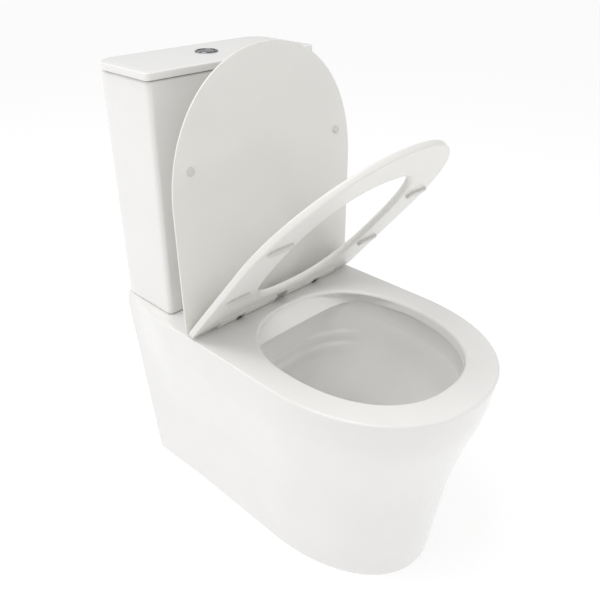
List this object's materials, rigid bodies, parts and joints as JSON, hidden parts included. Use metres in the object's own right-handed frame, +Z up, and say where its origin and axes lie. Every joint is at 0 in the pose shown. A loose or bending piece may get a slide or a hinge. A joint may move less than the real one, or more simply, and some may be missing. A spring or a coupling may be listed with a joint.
{
  "type": "close coupled toilet",
  "caption": "Close coupled toilet: back-to-wall china pan with a china cistern, push-button flush, and a slim soft-close seat ring and cover, both raised.",
  "frame": {"origin": "centre of the bounding box's base: on the floor, midway between the sides and midway between the wall and the pan's nose", "axes": "+Z up, the pan's nose points to -Y, the wall behind is at +Y, +X is to the right of someone who faces the toilet"},
  "size_m": [0.386, 0.645, 0.8347],
  "materials": {
    "china": "white glazed vitreous china",
    "seat_plastic": "glossy moulded urea resin",
    "white_plastic": "satin injection moulded",
    "blue_plastic": "satin injection moulded",
    "grey_plastic": "satin injection moulded",
    "pale_rubber": "soft translucent elastomer",
    "black_rubber": "matt black moulded",
    "chrome": "polished chrome plate",
    "steel": "stainless, as drawn",
    "brass": "machined"
  },
  "bodies": {
    "base": {"pan": "china", "cistern": "china", "coupling_bolt_left": "brass", "coupling_bolt_right": "brass", "bolt_seal_left": "black_rubber", "bolt_seal_right": "black_rubber", "bolt_washer_left": "steel", "bolt_washer_right": "steel", "wing_nut_left": "brass", "wing_nut_right": "brass", "coupling_gasket": "black_rubber", "flush_valve_base": "white_plastic", "flush_valve_washer": "black_rubber", "flush_valve_nut": "white_plastic", "flush_valve_tower": "blue_plastic", "fill_valve_body": "white_plastic", "fill_valve_cap": "white_plastic", "fill_valve_washer": "black_rubber", "fill_valve_nut": "white_plastic", "hinge_base_left": "chrome", "hinge_base_right": "chrome", "hinge_post_left": "chrome", "hinge_post_right": "chrome", "hinge_damper_left": "white_plastic", "hinge_damper_right": "white_plastic", "hinge_pin_left": "steel", "hinge_pin_right": "steel", "seat_screw_left": "steel", "seat_screw_right": "steel", "screw_cap_left": "chrome", "screw_cap_right": "chrome", "seat_sleeve_left": "black_rubber", "seat_sleeve_right": "black_rubber", "seat_nut_left": "steel", "seat_nut_right": "steel"},
    "seat": {"seat_ring": "seat_plastic", "seat_buffer_1": "pale_rubber", "seat_buffer_2": "pale_rubber", "seat_buffer_3": "pale_rubber", "seat_buffer_4": "pale_rubber"},
    "release": {"release_button": "grey_plastic"},
    "cover": {"seat_cover": "seat_plastic", "cover_buffer_left": "pale_rubber", "cover_buffer_right": "pale_rubber"},
    "lid": {"cistern_lid": "china", "button_housing": "chrome", "button_nut": "white_plastic", "full_button_spring": "steel", "half_button_spring": "steel"},
    "full_button": {"full_flush_button": "chrome", "full_flush_rod": "white_plastic"},
    "half_button": {"half_flush_button": "chrome", "half_flush_rod": "white_plastic"},
    "flush_piston": {"overflow_tube": "white_plastic", "flush_valve_seal": "black_rubber"},
    "full_lever": {"full_flush_lever": "white_plastic"},
    "half_lever": {"half_flush_lever": "white_plastic"},
    "float": {"fill_valve_float": "white_plastic", "fill_valve_link": "grey_plastic"},
    "float_lever": {"fill_valve_lever": "blue_plastic"}
  },
  "joints": [
    {"name": "seat_hinge", "type": "hinge", "parent": "base", "child": "seat", "pos_m": [0, 0.0988, 0.4106], "axis": [1, 0, 0], "range_deg": [0, 50]},
    {"name": "cover_hinge", "type": "hinge", "parent": "seat", "child": "cover", "pos_m": [0, 0.0988, 0.4106], "axis": [1, 0, 0], "range_deg": [-7, 40]},
    {"name": "release_press", "type": "slide", "parent": "seat", "child": "release", "axis": [0, -0.6428, 0.766], "range_m": [0, 0.003], "stiffness_N_per_m": 800, "springref_m": -0.003},
    {"name": "lid_lift", "type": "slide", "parent": "base", "child": "lid", "axis": [0, 0, 1], "range_m": [0, 0.12]},
    {"name": "full_button_press", "type": "slide", "parent": "lid", "child": "full_button", "axis": [0, 0, -1], "range_m": [0, 0.008], "stiffness_N_per_m": 1000, "springref_m": -0.006, "deforming": ["full_button_spring"]},
    {"name": "half_button_press", "type": "slide", "parent": "lid", "child": "half_button", "axis": [0, 0, -1], "range_m": [0, 0.008], "stiffness_N_per_m": 1000, "springref_m": -0.006, "deforming": ["half_button_spring"]},
    {"name": "piston_lift", "type": "slide", "parent": "base", "child": "flush_piston", "axis": [0, 0, 1], "range_m": [0, 0.007]},
    {"name": "full_lever_rock", "type": "hinge", "parent": "base", "child": "full_lever", "pos_m": [0.026, 0.254, 0.686], "axis": [0, -1, 0], "range_deg": [0, 25]},
    {"name": "half_lever_rock", "type": "hinge", "parent": "base", "child": "half_lever", "pos_m": [-0.026, 0.254, 0.686], "axis": [0, 1, 0], "range_deg": [0, 28]},
    {"name": "float_slide", "type": "slide", "parent": "base", "child": "float", "axis": [0, 0, 1], "range_m": [0, 0.006]},
    {"name": "float_lever_rock", "type": "hinge", "parent": "base", "child": "float_lever", "pos_m": [-0.114, 0.254, 0.734], "axis": [0, -1, 0], "range_deg": [0, 21]}
  ],
  "couplings": [
    {"joint": "piston_lift", "follows": "full_button_press", "ratio": 0.75},
    {"joint": "full_lever_rock", "follows": "full_button_press", "rad_per_m": 52},
    {"joint": "half_lever_rock", "follows": "half_button_press", "rad_per_m": 59},
    {"joint": "float_lever_rock", "follows": "float_slide", "rad_per_m": 58.8}
  ]
}
